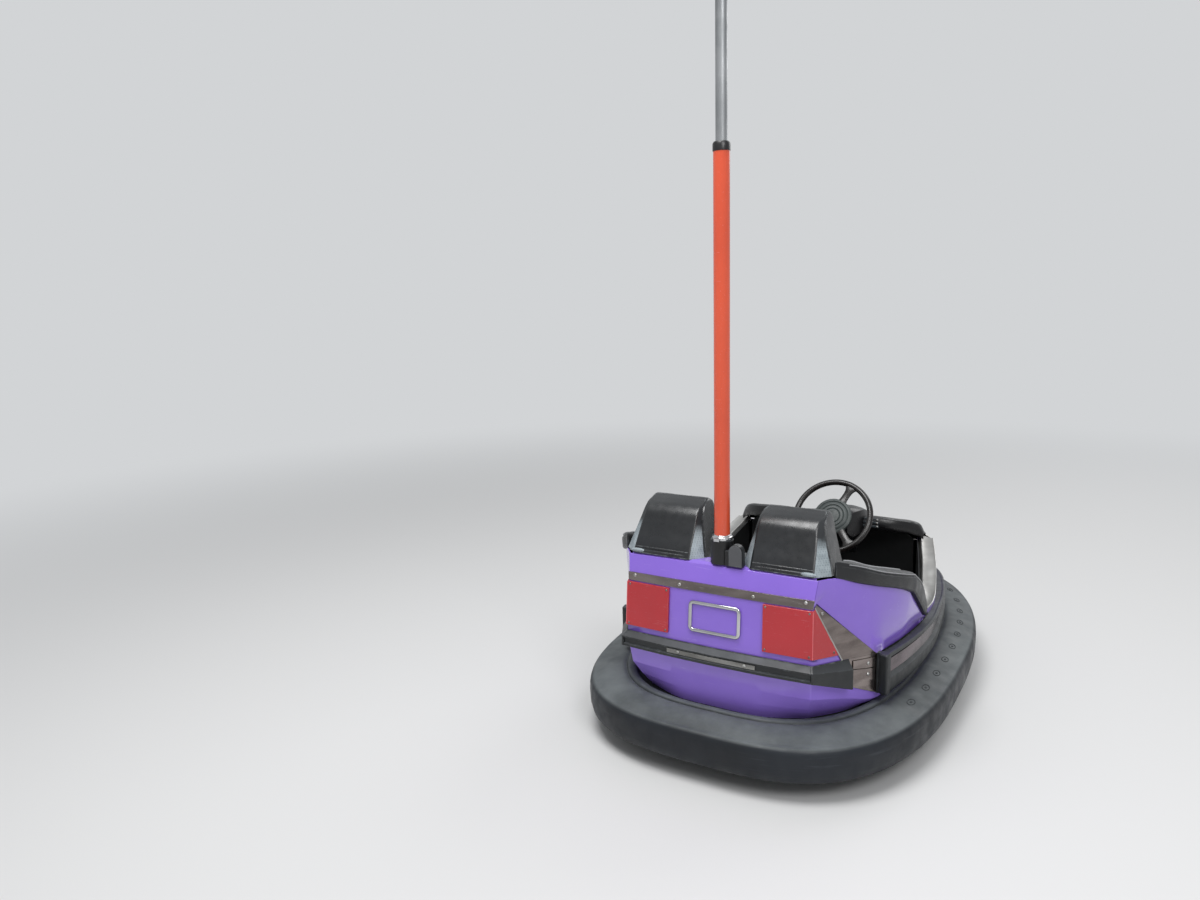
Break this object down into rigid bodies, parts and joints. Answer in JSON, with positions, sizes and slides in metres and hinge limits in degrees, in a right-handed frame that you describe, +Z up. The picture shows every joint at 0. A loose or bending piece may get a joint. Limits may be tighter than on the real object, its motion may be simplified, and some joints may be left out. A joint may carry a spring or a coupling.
{
  "type": "bumper car",
  "caption": "Two-seat fairground bumper car with rubber ring, open cockpit, moulded headrests, steered drive wheel under the hood and a roof contact pole.",
  "frame": {"origin": "on the floor under the middle of the rubber ring", "axes": "front faces -Y, the driver's left is +X, +Z up"},
  "size_m": [1.2, 1.962, 2.33],
  "materials": {
    "tyre_rubber": "matt, dusty",
    "steel_black": "satin",
    "body_purple": "gloss, some wear",
    "tub_purple": "gloss",
    "strip_black": "satin, scuffed",
    "trim_steel": "brushed, scratched",
    "lamp_red": "gloss",
    "lamp_yellow": "gloss",
    "grille_grey": "perforated",
    "plate_purple": "gloss, blank",
    "chrome_trim": "polished",
    "moulded_black": "grained",
    "seat_vinyl": "grained vinyl",
    "cockpit_black": "matt",
    "wheel_black": "gloss",
    "pole_red": "gloss",
    "pole_steel": "galvanised",
    "contact_black": "satin",
    "machine_steel": "oiled",
    "motor_grey": "satin",
    "wheel_rubber": "matt"
  },
  "bodies": {
    "car": {"bumper_tyre": "tyre_rubber", "bumper_band": "steel_black", "floor_pan": "cockpit_black", "chassis_frame": "steel_black", "lower_body": "tub_purple", "rear_panel": "body_purple", "quarter_panels": "body_purple", "fenders": "body_purple", "hood": "body_purple", "hood_mesh": "grille_grey", "front_panel": "strip_black", "front_strip": "strip_black", "rear_strip": "strip_black", "rear_steel_trim": "trim_steel", "side_strips": "strip_black", "tail_lamps": "lamp_red", "head_lamps": "lamp_yellow", "head_lamp_trims": "trim_steel", "hood_side_plates": "trim_steel", "number_plate": "plate_purple", "plate_frame": "chrome_trim", "sill_trims": "trim_steel", "cowl": "moulded_black", "bulkhead": "cockpit_black", "cockpit_liner": "cockpit_black", "seat_shell": "moulded_black", "headrests": "moulded_black", "seat_backs": "seat_vinyl", "seat_base": "cockpit_black", "seat_cushion": "seat_vinyl", "side_rails": "moulded_black", "steering_column": "moulded_black", "drive_pedal": "machine_steel", "pole_socket": "contact_black", "pole_sleeve": "pole_red", "pole_tube": "pole_steel", "roof_contact": "contact_black", "swivel_bearing": "machine_steel", "rear_axle": "machine_steel"},
    "steering_wheel": {"steering_wheel": "wheel_black"},
    "drive_unit": {"drive_fork": "machine_steel", "drive_motor": "motor_grey", "drive_axle": "machine_steel"},
    "drive_wheel": {"drive_wheel_hub": "machine_steel", "drive_wheel_tyre": "wheel_rubber"},
    "rear_wheel_left": {"rear_wheel_left": "wheel_rubber"},
    "rear_wheel_right": {"rear_wheel_right": "wheel_rubber"}
  },
  "joints": [
    {"name": "drive_steer", "type": "hinge", "parent": "car", "child": "drive_unit", "pos_m": [0, -0.43, 0.1826], "axis": [0, 0, 1], "continuous": true},
    {"name": "steering_turn", "type": "hinge", "parent": "car", "child": "steering_wheel", "pos_m": [-0.095, -0.023, 0.605], "axis": [0, 0.8192, 0.5736], "continuous": true},
    {"name": "drive_roll", "type": "hinge", "parent": "drive_unit", "child": "drive_wheel", "pos_m": [0, -0.43, 0.085], "axis": [1, 0, 0], "continuous": true},
    {"name": "rear_left_roll", "type": "hinge", "parent": "car", "child": "rear_wheel_left", "pos_m": [0.262, 0.56, 0.065], "axis": [1, 0, 0], "continuous": true},
    {"name": "rear_right_roll", "type": "hinge", "parent": "car", "child": "rear_wheel_right", "pos_m": [-0.262, 0.56, 0.065], "axis": [1, 0, 0], "continuous": true}
  ],
  "couplings": [
    {"joint": "steering_turn", "follows": "drive_steer", "ratio": 1}
  ]
}
